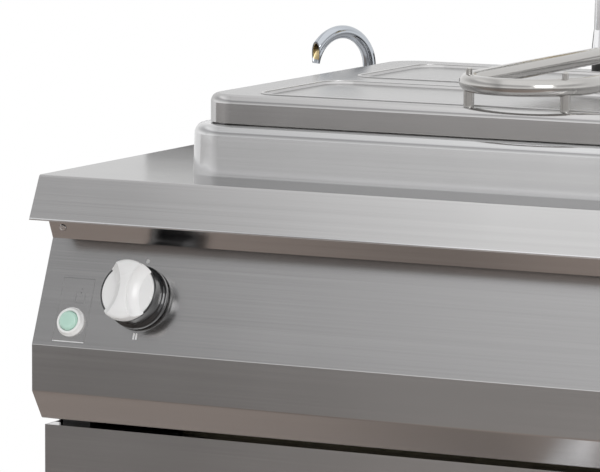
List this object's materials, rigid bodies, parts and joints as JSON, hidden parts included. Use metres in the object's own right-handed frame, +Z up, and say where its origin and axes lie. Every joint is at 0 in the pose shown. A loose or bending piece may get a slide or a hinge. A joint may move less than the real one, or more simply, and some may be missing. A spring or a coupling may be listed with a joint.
{
  "type": "steam jacketed kettle",
  "caption": "Rectangular electric steam jacketed boiling kettle in a free-standing steel cabinet, with a hinged lid, water spout, selector knob, fill button and front drain tap.",
  "frame": {"origin": "on the floor, under the middle of the overall bounding box", "axes": "+Z up, front with the controls towards -Y, +X to the right seen from the front"},
  "size_m": [0.9, 0.82, 1.145],
  "materials": {
    "satin_steel": "satin, fine horizontal brushing",
    "polished_steel": "polished bright",
    "jacket_steel": "mill finish",
    "frame_steel": "welded square tube, mill finish",
    "mineral_wool": "matt fibre blanket",
    "heater_alloy": "dark oxide",
    "silicone": "smooth",
    "black_plastic": "gloss black",
    "white_plastic": "smooth white",
    "dial_white": "printed dial plate",
    "pointer_black": "matt black",
    "clear_plastic": "frosted clear plastic",
    "green_plastic": "translucent pale green",
    "clear_glass": "clear",
    "plated_brass": "turned brass, partly nickel plated",
    "copper": "drawn copper tube"
  },
  "bodies": {
    "root": {"worktop": "satin_steel", "control_panel": "satin_steel", "side_panel_left": "satin_steel", "side_panel_right": "satin_steel", "back_panel": "satin_steel", "front_panel": "satin_steel", "base_tray": "satin_steel", "frame": "frame_steel", "legs": "satin_steel", "feet": "black_plastic", "well_surround": "satin_steel", "inner_vessel": "satin_steel", "steam_jacket": "jacket_steel", "insulation": "mineral_wool", "element_covers": "jacket_steel", "drain_strainer": "satin_steel", "hinge_bracket": "satin_steel", "hinge_bushes": "polished_steel", "lid_spring": "jacket_steel", "selector_switch": "black_plastic", "button_bezel": "clear_plastic", "button_switch": "black_plastic", "spout_base": "polished_steel", "spout_nut": "plated_brass", "water_pipe": "copper", "fill_valve": "plated_brass", "water_inlet": "plated_brass", "cable_gland": "black_plastic", "terminal_box": "black_plastic", "drain_pipe": "jacket_steel", "drain_rosette": "polished_steel", "tap_body": "polished_steel", "riser": "polished_steel", "riser_sleeve": "black_plastic", "riser_union": "polished_steel", "valve_block": "plated_brass", "safety_valve": "plated_brass", "vacuum_breaker": "plated_brass", "gauge_case": "polished_steel", "gauge_dial": "dial_white", "gauge_glass": "clear_glass", "heating_element_left": "heater_alloy", "heating_element_right": "heater_alloy"},
    "lid": {"lid_shell": "satin_steel", "lid_liner": "satin_steel", "lid_gasket": "silicone", "lid_handle": "polished_steel", "handle_posts": "polished_steel", "hinge_shaft": "polished_steel"},
    "knob": {"selector_knob": "black_plastic", "knob_cap": "white_plastic", "selector_spindle": "plated_brass"},
    "button": {"button_lens": "green_plastic"},
    "spout": {"water_spout": "polished_steel"},
    "tap_handle": {"tap_ball": "polished_steel", "tap_lever": "satin_steel", "lever_grip": "black_plastic"},
    "needle": {"gauge_needle": "pointer_black"},
    "easing_cap": {"easing_cap": "black_plastic"}
  },
  "joints": [
    {"name": "lid_hinge", "type": "hinge", "parent": "root", "child": "lid", "pos_m": [0, 0.253, 0.948], "axis": [-1, 0, 0], "range_deg": [0, 85], "stiffness_Nm_per_rad": 7.8, "springref_deg": 123.19},
    {"name": "knob_turn", "type": "hinge", "parent": "root", "child": "knob", "pos_m": [-0.344, -0.28718, 0.73827], "axis": [0, 0.9245, -0.3812], "range_deg": [0, 270]},
    {"name": "button_press", "type": "slide", "parent": "root", "child": "button", "axis": [0, 0.9245, -0.3812], "range_m": [0, 0.0025], "stiffness_N_per_m": 400, "springref_m": -0.001},
    {"name": "spout_swivel", "type": "hinge", "parent": "root", "child": "spout", "pos_m": [-0.3743, 0.2596, 0.87], "axis": [0, 0, 1], "range_deg": [-90, 60]},
    {"name": "tap_turn", "type": "hinge", "parent": "root", "child": "tap_handle", "pos_m": [0, -0.328, 0.373], "axis": [0, 0, -1], "range_deg": [0, 90]},
    {"name": "needle_turn", "type": "hinge", "parent": "root", "child": "needle", "pos_m": [-0.106, 0.256, 1.1115], "axis": [0, 1, 0], "range_deg": [0, 270], "stiffness_Nm_per_rad": 0.0005, "springref_deg": -5.73},
    {"name": "easing_cap_turn", "type": "hinge", "parent": "root", "child": "easing_cap", "pos_m": [-0.147, 0.256, 1.075], "axis": [0, 0, 1], "range_deg": [0, 90]}
  ]
}
